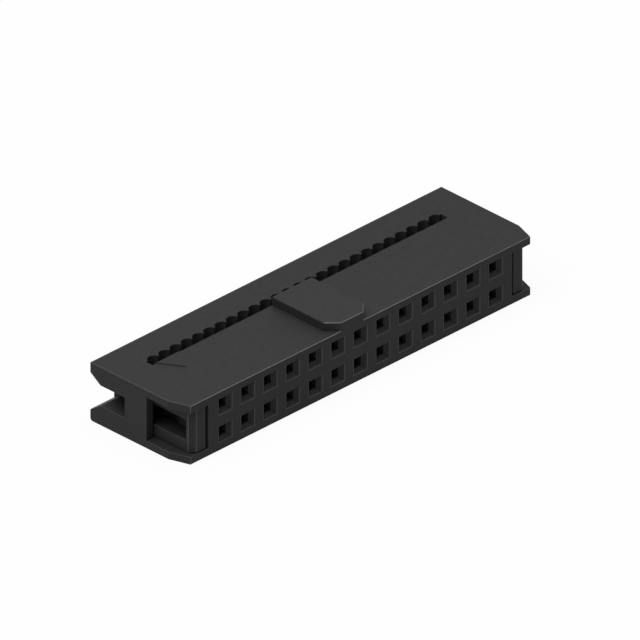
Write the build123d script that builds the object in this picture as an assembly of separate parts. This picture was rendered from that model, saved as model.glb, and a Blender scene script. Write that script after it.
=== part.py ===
from build123d import *
import os

# Two-row ribbon-cable socket. Millimetres, +Z up, the mating face looks along -Y.
# The origin is at the middle of the underside. Wire 1 and the moulded triangle are at the -X end.

# Contacts: columns along X, two rows one above the other
columns = 13
column_pitch = 2.54
row_pitch = 2.54

# Outer block, and how far the pin rows, notches and catches stand above its middle
thickness = 5.4
housing_depth = 6.80
cover_depth = 3.92
edge_break = 0.05
core_rise = 0.06

# Ends of the housing, from the last column outwards
core_end = 1.87
latch_gap = 0.25
arm_thickness = 1.495
arm_side_gap = 0.175
end_wall = 0.77
end_column_depth = 2.42
end_plate = 0.70
corner_run = 1.9
corner_inset = 0.63

# Pin entries and contact cavities
pin_hole = 0.84
funnel_mouth = 1.52
front_wall = 0.9
outer_wall = 0.66
row_web = 1.0

# Polarising key and pin-one triangle on the top
key_width = 4.5
key_height = 0.77
key_offset = -0.93
key_chamfer = 1.0
mark_base = 2.6
mark_length = 2.1
mark_rise = 0.065
mark_offset = 0.3

# Cover: ribbed cable slot, end notches and latch arms
slot_width = 0.75
scallop_depth = 1.17
scallop_radius = 0.6
slot_margin = 0.785
notch_height = 1.865
notch_margin = 0.02
lip_bevel_run = 1.18
lip_bevel_rise = 0.8
top_back_radius = 0.13
bottom_back_radius = 0.3
arm_height_gap = 0.09
arm_setback = 0.12
arm_corner = 0.47
arm_bar = 0.72
arm_bridge = 1.03

# Catch lugs on the housing, which stop the cover when it is open
cover_travel = 1.2
catch_gap = 0.12
catch_bite = 0.25
catch_crest = 0.54
catch_ramp = 1.0
catch_side_gap = 0.1

# Stamped contact
sheet = 0.25
fold_radius = 0.3
contact_width = 1.6
seat_gap = 0.05
blade_width = 1.3
fork_slot = 0.26
fork_mouth = 0.7
fork_flare = 0.45
fork_corner = 0.2
fork_reach = 1.32
fork_slot_depth = 1.45
tip_gap = 0.2
pocket_gap = 0.1
base_start = 1.33
base_length = 1.2
beam_height = 0.7
beam_gap = 0.5
beam_flare = 0.2
flare_length = 0.6
beam_end_gap = 0.3

# Places that follow from the sizes above
wire_pitch = column_pitch / 2
end_length = latch_gap + arm_thickness + arm_side_gap + end_wall
core_half = (columns - 1) * column_pitch / 2 + core_end
half_length = core_half + end_length
mate_y = -(housing_depth + cover_depth) / 2
seam_y = mate_y + housing_depth
back_y = seam_y + cover_depth
middle = thickness / 2 + core_rise
column_places = [(index - (columns - 1) / 2) * column_pitch for index in range(columns)]
wire_places = [x + side * wire_pitch / 2 for x in column_places for side in (-1, 1)]
arm_inner = core_half + latch_gap
arm_outer = arm_inner + arm_thickness
arm_front = mate_y + arm_setback
bar_back = arm_front + arm_bar
catch_front = bar_back + cover_travel + catch_gap
web_bottom = -(row_pitch - row_web) / 2 + seat_gap
base_front = seam_y - base_start - base_length
fork_foot = seam_y - base_start - sheet
beam_tip = mate_y + front_wall + beam_end_gap


def block(x_range, y_range, z_range):
    """A box between two limits along each axis."""
    ranges = (x_range, y_range, z_range)
    centre = [(low + high) / 2 for low, high in ranges]
    size = [high - low for low, high in ranges]
    return Pos(*centre) * Box(*size)


def plan(points, bottom, top):
    """A flat outline in X and Y, raised between two heights."""
    return Pos(0, 0, bottom) * extrude(Polygon(*points, align=None), amount=top - bottom)


def side_profile(points):
    """A flat outline in Y and Z, as a face in the plane X = 0."""
    return Plane.YZ * Polygon(*points, align=None)


def both_ends(solid):
    """The solid at the +X end with its mirror image at the -X end."""
    return [solid, mirror(solid, Plane.YZ)]


def break_edges(solid, wanted):
    """Bevel the edges whose middle point is one that is wanted."""
    return chamfer(solid.edges().filter_by(lambda edge: wanted(edge.center())), edge_break)


def contact_places():
    """Where each contact stands: upper and lower row of each column in turn.

    The lower row is the upper one turned half a turn about Y.
    """
    places = []
    for x in column_places:
        places.append(Pos(x, 0, middle + row_pitch / 2))
        places.append(Pos(x, 0, middle - row_pitch / 2) * Rot(0, 180, 0))
    return places


def cavity():
    """What one contact takes out of the housing, about the axis of its pin."""
    half_width = contact_width / 2 + seat_gap
    floor = web_bottom - seat_gap
    roof = (thickness - row_pitch) / 2 - outer_wall
    room = block((-half_width, half_width), (mate_y + front_wall, seam_y), (floor, roof))

    blade_side = wire_pitch / 2 + blade_width / 2 + seat_gap
    blade_top = web_bottom + sheet + seat_gap
    blade_slot = block((-blade_side, 0), (fork_foot - seat_gap, seam_y), (floor, blade_top))

    half_hole = pin_hole / 2
    hole = block((-half_hole, half_hole), (mate_y, mate_y + front_wall), (-half_hole, half_hole))
    mating_plane = Plane((0, mate_y, 0), x_dir=(1, 0, 0), z_dir=(0, 1, 0))
    funnel_depth = (funnel_mouth - pin_hole) / 2
    mouth = mating_plane * Rectangle(funnel_mouth, funnel_mouth)
    throat = mating_plane.offset(funnel_depth) * Rectangle(pin_hole, pin_hole)
    return room + blade_slot + hole + loft([mouth, throat])


def latch_tunnel():
    """The space at the +X end that a latch arm slides in, open to the front and the side."""
    wall = half_length - end_wall
    heights = (end_plate, thickness - end_plate)
    tunnel = block((core_half, wall), (mate_y, seam_y), heights)
    window = block((wall, half_length), (mate_y, seam_y - end_column_depth), heights)
    return tunnel + window


def catch_lug():
    """The wedge on the core's +X side that rides in the window of the latch arm."""
    crest = arm_inner + catch_bite
    half_height = notch_height / 2 - catch_side_gap
    crest_back = catch_front + catch_crest
    points = [
        (core_half, catch_front),
        (crest, catch_front),
        (crest, crest_back),
        (core_half, crest_back + catch_ramp),
    ]
    return plan(points, middle - half_height, middle + half_height)


def key():
    """The polarising key, with its two front corners cut off."""
    left = key_offset - key_width / 2
    right = key_offset + key_width / 2
    points = [
        (left, seam_y),
        (left, mate_y + key_chamfer),
        (left + key_chamfer, mate_y),
        (right - key_chamfer, mate_y),
        (right, mate_y + key_chamfer),
        (right, seam_y),
    ]
    foot = thickness - edge_break
    solid = plan(points, foot, thickness + key_height)
    return break_edges(solid, lambda point: point.Z > thickness and point.Y < seam_y - edge_break)


def pin_one_mark():
    """The raised triangle beside wire 1, with its base on the edge of the cable slot."""
    centre = column_places[0] + mark_offset
    points = [
        (centre - mark_base / 2, seam_y),
        (centre, seam_y - mark_length),
        (centre + mark_base / 2, seam_y),
    ]
    return plan(points, thickness, thickness + mark_rise)


def make_housing():
    """The moulded body that holds the contacts."""
    corner = half_length - corner_inset
    points = [
        (-half_length, seam_y),
        (-half_length, mate_y + corner_run),
        (-corner, mate_y),
        (corner, mate_y),
        (half_length, mate_y + corner_run),
        (half_length, seam_y),
    ]
    body = break_edges(plan(points, 0, thickness), lambda point: point.Y < seam_y - edge_break)
    body = body - both_ends(latch_tunnel())
    body = body + both_ends(catch_lug()) + key() + pin_one_mark()
    one_cavity = cavity()
    return body - [place * one_cavity for place in contact_places()]


def cable_slot():
    """The slot between cover and housing, with a hollow for each wire in the cover's side."""
    half_slot = wire_places[-1] + slot_margin
    outline = Pos(0, seam_y + slot_width / 2) * Rectangle(2 * half_slot, slot_width)
    centre_y = seam_y + scallop_depth - scallop_radius
    outline = outline + [Pos(x, centre_y) * Circle(scallop_radius) for x in wire_places]
    return extrude(outline, amount=thickness)


def end_notch():
    """The opening in the cover's +X end, widened towards the back by two bevels."""
    half_height = notch_height / 2
    wide = half_height + lip_bevel_rise
    bevel_y = back_y - lip_bevel_run
    points = [
        (seam_y, middle - half_height),
        (bevel_y, middle - half_height),
        (back_y, middle - wide),
        (back_y, middle + wide),
        (bevel_y, middle + half_height),
        (seam_y, middle + half_height),
    ]
    reach = end_length + notch_margin
    return Pos(half_length - reach, 0, 0) * extrude(side_profile(points), amount=reach)


def tip_pocket():
    """What the fork tips of one contact need in the cover, about the axis of its pin."""
    half_width = blade_width / 2 + pocket_gap
    depth = fork_reach + tip_gap
    bottom = web_bottom - pocket_gap
    top = web_bottom + sheet + pocket_gap
    pocket = block((-half_width, half_width), (seam_y, seam_y + depth), (bottom, top))
    return Pos(-wire_pitch / 2, 0, 0) * pocket


def latch_arm():
    """The arm at the cover's +X end, with the window that the catch lug rides in."""
    points = [
        (arm_inner, seam_y),
        (arm_inner, arm_front),
        (arm_outer - arm_corner, arm_front),
        (arm_outer, arm_front + arm_corner),
        (arm_outer, seam_y),
    ]
    bottom = end_plate + arm_height_gap
    half_window = notch_height / 2
    window = block(
        (arm_inner, arm_outer),
        (bar_back, seam_y - arm_bridge),
        (middle - half_window, middle + half_window),
    )
    return plan(points, bottom, thickness - bottom) - window


def make_cover():
    """The pressed-on back that clamps the cable, with a latch arm at each end."""
    corners = [(seam_y, 0), (back_y, 0), (back_y, thickness), (seam_y, thickness)]
    section = side_profile(corners)
    back_corners = section.vertices().group_by(Axis.Y)[-1].sort_by(Axis.Z)
    section = fillet(back_corners[0], bottom_back_radius)
    section = fillet(section.vertices().group_by(Axis.Z)[-1].sort_by(Axis.Y)[-1], top_back_radius)
    body = Pos(-half_length, 0, 0) * extrude(section, amount=2 * half_length)
    near_end = half_length - edge_break
    body = break_edges(body, lambda point: abs(point.X) > near_end and point.Y > seam_y + edge_break)
    body = body - both_ends(end_notch()) - cable_slot()
    pocket = tip_pocket()
    body = body - [place * pocket for place in contact_places()]
    return body + both_ends(latch_arm())


def contact_base():
    """The folded floor of the contact: a web with a wall bent up on each side."""
    top = beam_height / 2
    height = top - web_bottom
    across = Plane((0, base_front, 0), x_dir=(1, 0, 0), z_dir=(0, -1, 0))
    outer = Pos(0, web_bottom + height / 2) * Rectangle(contact_width, height)
    inner_width = contact_width - 2 * sheet
    inner = Pos(0, web_bottom + sheet + height / 2) * Rectangle(inner_width, height)
    outer = fillet(outer.vertices().group_by(Axis.Y)[0], fold_radius)
    return extrude(across * (outer - inner), amount=-base_length)


def wire_fork():
    """The flat blade whose slot cuts through the insulation and grips one wire."""
    tip = seam_y + fork_reach
    half_width = blade_width / 2
    blade = Polygon(
        (-half_width, fork_foot),
        (half_width, fork_foot),
        (half_width, tip - fork_flare),
        (half_width - fork_corner, tip),
        (fork_corner - half_width, tip),
        (-half_width, tip - fork_flare),
        align=None,
    )
    slot_end = tip - fork_slot_depth
    half_slot = fork_slot / 2
    wire_slot = Polygon(
        (-half_slot, slot_end),
        (half_slot, slot_end),
        (half_slot, tip - fork_flare),
        (fork_mouth / 2, tip),
        (-fork_mouth / 2, tip),
        (-half_slot, tip - fork_flare),
        align=None,
    )
    return Pos(-wire_pitch / 2, 0, web_bottom) * extrude(blade - wire_slot, amount=sheet)


def spring_beam():
    """One of the two beams that grip the pin, bent in to the pin and out again at the tip."""
    root = contact_width / 2
    grip = beam_gap / 2
    grip_y = beam_tip + flare_length
    points = [
        (root - sheet, base_front),
        (grip, grip_y),
        (grip + beam_flare, beam_tip),
        (grip + beam_flare + sheet, beam_tip),
        (grip + sheet, grip_y),
        (root, base_front),
    ]
    return plan(points, -beam_height / 2, beam_height / 2)


def make_contact():
    """One stamped and folded contact, about the axis of its pin."""
    return contact_base() + wire_fork() + both_ends(spring_beam())


os.makedirs("parts", exist_ok=True)
export_step(make_housing(), "parts/housing.step")
export_step(make_cover(), "parts/cover.step")
contact = make_contact()
for number, place in enumerate(contact_places(), start=1):
    export_step(place * contact, f"parts/contact_{number:02d}.step")
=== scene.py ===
import math

import bmesh
import bpy
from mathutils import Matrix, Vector


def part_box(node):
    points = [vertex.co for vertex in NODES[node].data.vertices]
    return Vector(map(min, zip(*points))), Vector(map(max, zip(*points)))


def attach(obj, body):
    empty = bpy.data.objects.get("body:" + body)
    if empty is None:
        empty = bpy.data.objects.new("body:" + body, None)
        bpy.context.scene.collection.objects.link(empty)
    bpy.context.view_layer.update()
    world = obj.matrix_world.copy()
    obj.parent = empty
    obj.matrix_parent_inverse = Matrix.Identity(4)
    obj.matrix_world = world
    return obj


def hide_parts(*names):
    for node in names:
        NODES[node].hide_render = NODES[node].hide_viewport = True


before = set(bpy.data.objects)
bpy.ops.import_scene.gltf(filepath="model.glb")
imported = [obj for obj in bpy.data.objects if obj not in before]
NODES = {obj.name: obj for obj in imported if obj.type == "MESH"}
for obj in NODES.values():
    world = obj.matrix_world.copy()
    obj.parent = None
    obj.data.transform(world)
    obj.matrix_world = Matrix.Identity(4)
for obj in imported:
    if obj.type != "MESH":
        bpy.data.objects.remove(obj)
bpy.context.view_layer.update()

MM = 0.001

# Places read from the frame: the back of the housing and the top of the cover
SEAM_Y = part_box("housing")[1].y
TOP_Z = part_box("cover")[1].z

# Order of the materials on a moulding: the plain skin, then the painted highlights on bevels, on roundings
# and on the key's top
SKIN, BEVEL_HIGHLIGHT, ROUNDING_HIGHLIGHT, LIT_KEY_TOP = range(4)

# How far corners, shallow corners and edges that look down are rounded
CORNER_ROUND = 0.025 * MM
SHALLOW_ROUND = 0.05 * MM
CRISP_ROUND = 0.015 * MM
ROUND_STEPS = 3

# What counts as a corner, a bevel, a narrow strip, a curve's step and an edge of the cable slot
CORNER_ANGLE = math.radians(60)
BEVEL_ANGLE = math.radians(30)
SMOOTH_ANGLE = math.radians(35)
FLAT_ANGLE = math.radians(0.5)
STRIP_WIDTH = 0.09 * MM
CURVE_STEP = 0.25 * MM
SLOT_REACH = 1.3 * MM
KEY_ABOVE = 0.3 * MM
MERGE_DISTANCE = 0.001 * MM
CLEARANCE = 1.4

# Limits on the parts of a face's normal
UPWARD = 0.9
HALF_UP = 0.5
DOWNWARD = -0.2
SIDEWAYS = 0.6
ALONG_KEY = 0.1

# The photograph's view: no perspective, 12.541 pixels to the millimetre
IMAGE_PIXELS = 640
PIXELS_PER_MM = 12.541
VIEW_ELEVATION = math.radians(30)
VIEW_AZIMUTH = math.radians(-45)
AIM = Vector((-2.12, -2.91, 5.4)) * MM
CAMERA_DISTANCE = 200 * MM
CLIP_START = 0.01
CLIP_END = 10.0

# Darkest and lightest grey of each kind of plastic surface: the plain skin, then the paler painted
# highlights on bevels, on roundings and on the key's top
SKIN_GREYS = (0.0265, 0.0275)
BEVEL_HIGHLIGHT_GREYS = (0.148, 0.156)
ROUNDING_HIGHLIGHT_GREYS = (0.067, 0.072)
LIT_KEY_TOP_GREYS = (0.0302, 0.0312)
PLASTIC_ROUGHNESS = (0.48, 0.58)
PLASTIC_SHINE = 0.08
PLASTIC_GRAIN_DEPTH = 0.002 * MM
PLASTIC_GRAIN_STRENGTH = 0.25

# Phosphor bronze
BRONZE_DARK = (0.80, 0.56, 0.25)
BRONZE_LIGHT = (0.88, 0.66, 0.34)
BRONZE_ROUGHNESS = (0.3, 0.42)
BRONZE_BUMP_DEPTH = 0.0004 * MM
BRONZE_BUMP_STRENGTH = 0.1

# Most noise lies between these two values
NOISE_RANGE = (0.3, 0.7)

# The studio: half the floor's side in metres, its tones, the world's, and the lamps
FLOOR_REACH = 1.5
FLOOR_GREY = 0.85
FLOOR_ROUGHNESS = 0.9
FLOOR_WHITE_SHARE = 0.94
FILL_LEVEL = 0.16
WHITE_LEVEL = 1.0
LAMP_DISTANCE = 0.5
LAMPS = (
    # name, direction from the part, size in metres, power in watts
    ("top_light", (0.1, 0.0, 1.0), 0.5, 1.3),
    ("left_light", (-0.5, 0.05, 0.86), 0.3, 1.4),
)


def width_of(face):
    """About how wide a long face is."""
    return 2 * face.calc_area() / sum(edge.calc_length() for edge in face.edges)


def is_narrow(face):
    """Whether a face is too narrow to lose its sides to rounding."""
    return width_of(face) < STRIP_WIDTH


def is_curved(face):
    """Whether a face is one of the narrow steps of a curved surface."""
    bends = any(FLAT_ANGLE < edge.calc_face_angle(0.0) < SMOOTH_ANGLE for edge in face.edges)
    return bends and width_of(face) < CURVE_STEP


def is_bevel(face):
    """Whether a face is one of the CAD model's narrow 45 degree edge breaks."""
    longest = max(face.edges, key=lambda edge: edge.calc_length())
    return is_narrow(face) and BEVEL_ANGLE < longest.calc_face_angle(0.0) < CORNER_ANGLE


def strip_material(face):
    """Paints a highlight on a bevel: the palest grey where it looks up and forwards, a less pale grey
    elsewhere. Those beside the key get no painted line.
    """
    above_cover = face.calc_center_median().z > TOP_Z + MERGE_DISTANCE
    if above_cover and abs(face.normal.y) < ALONG_KEY:
        return SKIN
    return BEVEL_HIGHLIGHT if abs(face.normal.x) < SIDEWAYS and face.normal.z > HALF_UP else ROUNDING_HIGHLIGHT


def flat_material(face):
    """The key's top gets a painted highlight, a little paler than the rest of the skin."""
    on_key = face.calc_center_median().z > TOP_Z + KEY_ABOVE
    return LIT_KEY_TOP if on_key and face.normal.z > UPWARD else SKIN


def has_room(edge, width):
    """Whether the edges that meet an edge at its ends are longer than its rounding."""
    sides = [side for loop in edge.link_loops for side in (loop.link_loop_next, loop.link_loop_prev)]
    return min(side.edge.calc_length() for side in sides) > CLEARANCE * width


def rounding(edge):
    """How far an edge is rounded. Inner corners, thin strips and the cable slot's edges stay sharp."""
    angle = edge.calc_face_angle(0.0)
    by_slot = all(-MERGE_DISTANCE < vert.co.y - SEAM_Y < SLOT_REACH for vert in edge.verts)
    if angle < BEVEL_ANGLE or not edge.is_convex or by_slot:
        return 0.0
    narrow = sum(is_narrow(face) for face in edge.link_faces)
    across = narrow == 1 and angle > CORNER_ANGLE and edge.calc_length() < 2 * STRIP_WIDTH
    if narrow and not across:
        return 0.0
    width = SHALLOW_ROUND if angle < CORNER_ANGLE else CORNER_ROUND
    if sum(face.normal.z for face in edge.link_faces) < DOWNWARD:
        width = CRISP_ROUND
    return width if has_room(edge, width) else 0.0


def mesh_from(node, name, skins):
    """A copy of a CAD node's mesh with whole flat faces and its edges marked for rounding."""
    mesh = NODES[node].data.copy()
    mesh.name = name
    mesh.materials.clear()
    for material in skins:
        mesh.materials.append(material)
    work = bmesh.new()
    work.from_mesh(mesh)
    bmesh.ops.remove_doubles(work, verts=work.verts, dist=MERGE_DISTANCE)
    bmesh.ops.dissolve_limit(
        work, angle_limit=FLAT_ANGLE, verts=work.verts, edges=work.edges, use_dissolve_boundaries=False
    )
    weights = work.edges.layers.float.new("bevel_weight_edge")
    for edge in work.edges:
        edge[weights] = rounding(edge) / SHALLOW_ROUND
    # Bevels and the key's top get painted highlight greys
    for face in work.faces:
        face.material_index = strip_material(face) if is_bevel(face) else flat_material(face)
    work.to_mesh(mesh)
    work.free()
    return mesh


def rounded_mesh(node, name, skins):
    """The mesh of a CAD node with its edges rounded."""
    rough = bpy.data.objects.new(name + "_rough", mesh_from(node, name + "_rough", skins))
    bpy.context.scene.collection.objects.link(rough)
    bevel = rough.modifiers.new("edges", "BEVEL")
    bevel.limit_method = "WEIGHT"
    bevel.width = SHALLOW_ROUND
    bevel.segments = ROUND_STEPS
    # The rounded faces get a painted highlight grey
    bevel.material = ROUNDING_HIGHLIGHT
    bevel.use_clamp_overlap = False
    graph = bpy.context.evaluated_depsgraph_get()
    mesh = bpy.data.meshes.new_from_object(rough.evaluated_get(graph))
    mesh.name = name
    bpy.data.objects.remove(rough)
    return mesh


def shade(mesh):
    """Makes only curved faces smooth, and gives faces that look down the plain skin, without a painted
    highlight.
    """
    work = bmesh.new()
    work.from_mesh(mesh)
    for edge in work.edges:
        edge.smooth = edge.calc_face_angle(0.0) < SMOOTH_ANGLE
    for face in work.faces:
        face.smooth = is_curved(face)
        if face.normal.z < DOWNWARD:
            face.material_index = SKIN
    work.to_mesh(mesh)
    work.free()


def moulded(node, body, name, skins):
    """A round-edged copy that stands for a CAD moulding, with painted highlights on edges where they look
    up.
    """
    mesh = rounded_mesh(node, name, skins)
    shade(mesh)
    piece = bpy.data.objects.new(name, mesh)
    bpy.context.scene.collection.objects.link(piece)
    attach(piece, body)
    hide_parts(node)
    return piece


def new_material(name):
    """An empty node material with its shader and output joined."""
    material = bpy.data.materials.new(name)
    material.use_nodes = True
    tree = material.node_tree
    tree.nodes.clear()
    shader = tree.nodes.new("ShaderNodeBsdfPrincipled")
    output = tree.nodes.new("ShaderNodeOutputMaterial")
    tree.links.new(shader.outputs["BSDF"], output.inputs["Surface"])
    return material, tree, shader, output


def noise(tree, scale, detail):
    """Noise in the part's own space."""
    place = tree.nodes.new("ShaderNodeTexCoord")
    texture = tree.nodes.new("ShaderNodeTexNoise")
    texture.inputs["Scale"].default_value = scale
    texture.inputs["Detail"].default_value = detail
    tree.links.new(place.outputs["Object"], texture.inputs["Vector"])
    return texture.outputs["Fac"]


def between(tree, value, limits):
    """Noise spread over a range."""
    spread = tree.nodes.new("ShaderNodeMapRange")
    spread.inputs["From Min"].default_value, spread.inputs["From Max"].default_value = NOISE_RANGE
    spread.inputs["To Min"].default_value, spread.inputs["To Max"].default_value = limits
    tree.links.new(value, spread.inputs["Value"])
    return spread.outputs["Result"]


def mixed_colour(tree, value, first, second):
    """A colour between two, by a value."""
    mix = tree.nodes.new("ShaderNodeMix")
    mix.data_type = "RGBA"
    tree.links.new(value, mix.inputs["Factor"])
    mix.inputs["A"].default_value = (*first, 1.0)
    mix.inputs["B"].default_value = (*second, 1.0)
    return mix.outputs["Result"]


def bump(tree, height, depth, strength):
    """A bump of a real depth in metres."""
    node = tree.nodes.new("ShaderNodeBump")
    node.inputs["Strength"].default_value = strength
    node.inputs["Distance"].default_value = depth
    tree.links.new(height, node.inputs["Height"])
    return node.outputs["Normal"]


def black_plastic(name, greys):
    """Glass-filled moulded black plastic with a fine spark-eroded skin."""
    material, tree, shader, _ = new_material(name)
    dark, light = greys
    clouds = between(tree, noise(tree, scale=1200, detail=3), (0.0, 1.0))
    colour = mixed_colour(tree, clouds, (dark, dark, dark), (light, light, light))
    tree.links.new(colour, shader.inputs["Base Color"])
    roughness = between(tree, noise(tree, scale=2500, detail=2), PLASTIC_ROUGHNESS)
    tree.links.new(roughness, shader.inputs["Roughness"])
    grain = bump(tree, noise(tree, scale=14000, detail=2), PLASTIC_GRAIN_DEPTH, PLASTIC_GRAIN_STRENGTH)
    tree.links.new(grain, shader.inputs["Normal"])
    shader.inputs["Specular IOR Level"].default_value = PLASTIC_SHINE
    return material


def contact_metal(name):
    """Plated phosphor bronze, faintly clouded and a little uneven from rolling."""
    material, tree, shader, _ = new_material(name)
    clouds = between(tree, noise(tree, scale=900, detail=3), (0.0, 1.0))
    colour = mixed_colour(tree, clouds, BRONZE_DARK, BRONZE_LIGHT)
    tree.links.new(colour, shader.inputs["Base Color"])
    roughness = between(tree, noise(tree, scale=4000, detail=3), BRONZE_ROUGHNESS)
    tree.links.new(roughness, shader.inputs["Roughness"])
    marks = bump(tree, noise(tree, scale=3000, detail=2), BRONZE_BUMP_DEPTH, BRONZE_BUMP_STRENGTH)
    tree.links.new(marks, shader.inputs["Normal"])
    shader.inputs["Metallic"].default_value = 1.0
    return material


def seen_straight(tree):
    """1 for what the camera sees straight, in a reflection or through glass, and 0 for light on things."""
    path = tree.nodes.new("ShaderNodeLightPath")
    seen = path.outputs["Is Camera Ray"]
    for kind in ("Is Glossy Ray", "Is Transmission Ray"):
        either = tree.nodes.new("ShaderNodeMath")
        either.operation = "MAXIMUM"
        tree.links.new(seen, either.inputs[0])
        tree.links.new(path.outputs[kind], either.inputs[1])
        seen = either.outputs[0]
    return seen


def floor_material():
    """Pale floor that stays white to the camera but for a faint shadow."""
    material, tree, shader, output = new_material("studio_floor")
    shader.inputs["Base Color"].default_value = (FLOOR_GREY, FLOOR_GREY, FLOOR_GREY, 1.0)
    shader.inputs["Roughness"].default_value = FLOOR_ROUGHNESS
    shader.inputs["Specular IOR Level"].default_value = 0.0
    white = tree.nodes.new("ShaderNodeEmission")
    share = tree.nodes.new("ShaderNodeMath")
    share.operation = "MULTIPLY"
    share.inputs[1].default_value = FLOOR_WHITE_SHARE
    mix = tree.nodes.new("ShaderNodeMixShader")
    tree.links.new(seen_straight(tree), share.inputs[0])
    tree.links.new(share.outputs[0], mix.inputs["Fac"])
    tree.links.new(shader.outputs["BSDF"], mix.inputs[1])
    tree.links.new(white.outputs["Emission"], mix.inputs[2])
    tree.links.new(mix.outputs["Shader"], output.inputs["Surface"])
    return material


def make_floor():
    """A wide pale floor under the part."""
    mesh = bpy.data.meshes.new("floor")
    corners = [
        (-FLOOR_REACH, -FLOOR_REACH, 0),
        (FLOOR_REACH, -FLOOR_REACH, 0),
        (FLOOR_REACH, FLOOR_REACH, 0),
        (-FLOOR_REACH, FLOOR_REACH, 0),
    ]
    mesh.from_pydata(corners, [], [(0, 1, 2, 3)])
    floor = bpy.data.objects.new("floor", mesh)
    bpy.context.scene.collection.objects.link(floor)
    mesh.materials.append(floor_material())


def make_world():
    """White to the camera and to glossy rays, and soft fill light to the rest."""
    world = bpy.data.worlds.new("studio")
    bpy.context.scene.world = world
    world.use_nodes = True
    tree = world.node_tree
    tree.nodes.clear()
    level = tree.nodes.new("ShaderNodeMapRange")
    level.inputs["To Min"].default_value = FILL_LEVEL
    level.inputs["To Max"].default_value = WHITE_LEVEL
    background = tree.nodes.new("ShaderNodeBackground")
    background.inputs["Color"].default_value = (1.0, 1.0, 1.0, 1.0)
    output = tree.nodes.new("ShaderNodeOutputWorld")
    tree.links.new(seen_straight(tree), level.inputs["Value"])
    tree.links.new(level.outputs["Result"], background.inputs["Strength"])
    tree.links.new(background.outputs["Background"], output.inputs["Surface"])


def make_lamp(name, direction, size, watts):
    """A square soft box that faces the part."""
    data = bpy.data.lights.new(name, "AREA")
    data.shape = "SQUARE"
    data.size = size
    data.energy = watts
    lamp = bpy.data.objects.new(name, data)
    way = Vector(direction).normalized()
    lamp.location = way * LAMP_DISTANCE
    lamp.rotation_mode = "QUATERNION"
    lamp.rotation_quaternion = way.to_track_quat("Z", "Y")
    bpy.context.scene.collection.objects.link(lamp)


def make_camera():
    """A parallel view at the photograph's angle and scale."""
    data = bpy.data.cameras.new("camera")
    data.type = "ORTHO"
    data.ortho_scale = IMAGE_PIXELS / PIXELS_PER_MM * MM
    data.clip_start = CLIP_START
    data.clip_end = CLIP_END
    camera = bpy.data.objects.new("camera", data)
    back = Vector((
        math.sin(VIEW_AZIMUTH) * math.cos(VIEW_ELEVATION),
        -math.cos(VIEW_AZIMUTH) * math.cos(VIEW_ELEVATION),
        math.sin(VIEW_ELEVATION),
    ))
    camera.location = AIM + back * CAMERA_DISTANCE
    camera.rotation_mode = "QUATERNION"
    camera.rotation_quaternion = back.to_track_quat("Z", "Y")
    bpy.context.scene.collection.objects.link(camera)
    bpy.context.scene.camera = camera


def dress(piece, material):
    """Gives one piece one material."""
    piece.data.materials.clear()
    piece.data.materials.append(material)


# In the material order set at the top: the plain skin, then the painted highlights on bevels, on roundings
# and on the key's top
skins = (
    black_plastic("black_plastic", SKIN_GREYS),
    black_plastic("painted_bevel_highlight", BEVEL_HIGHLIGHT_GREYS),
    black_plastic("painted_rounding_highlight", ROUNDING_HIGHLIGHT_GREYS),
    black_plastic("painted_lit_key_top", LIT_KEY_TOP_GREYS),
)
housing = moulded("housing", "socket", "housing_moulding", skins)
cover = moulded("cover", "cover", "cover_moulding", skins)
metal = contact_metal("contact_bronze")
for node, piece in NODES.items():
    if node.startswith("contact_"):
        dress(piece, metal)

make_floor()
make_world()
for name, direction, size, watts in LAMPS:
    make_lamp(name, direction, size, watts)
make_camera()

bpy.context.scene.view_settings.view_transform = "Standard"
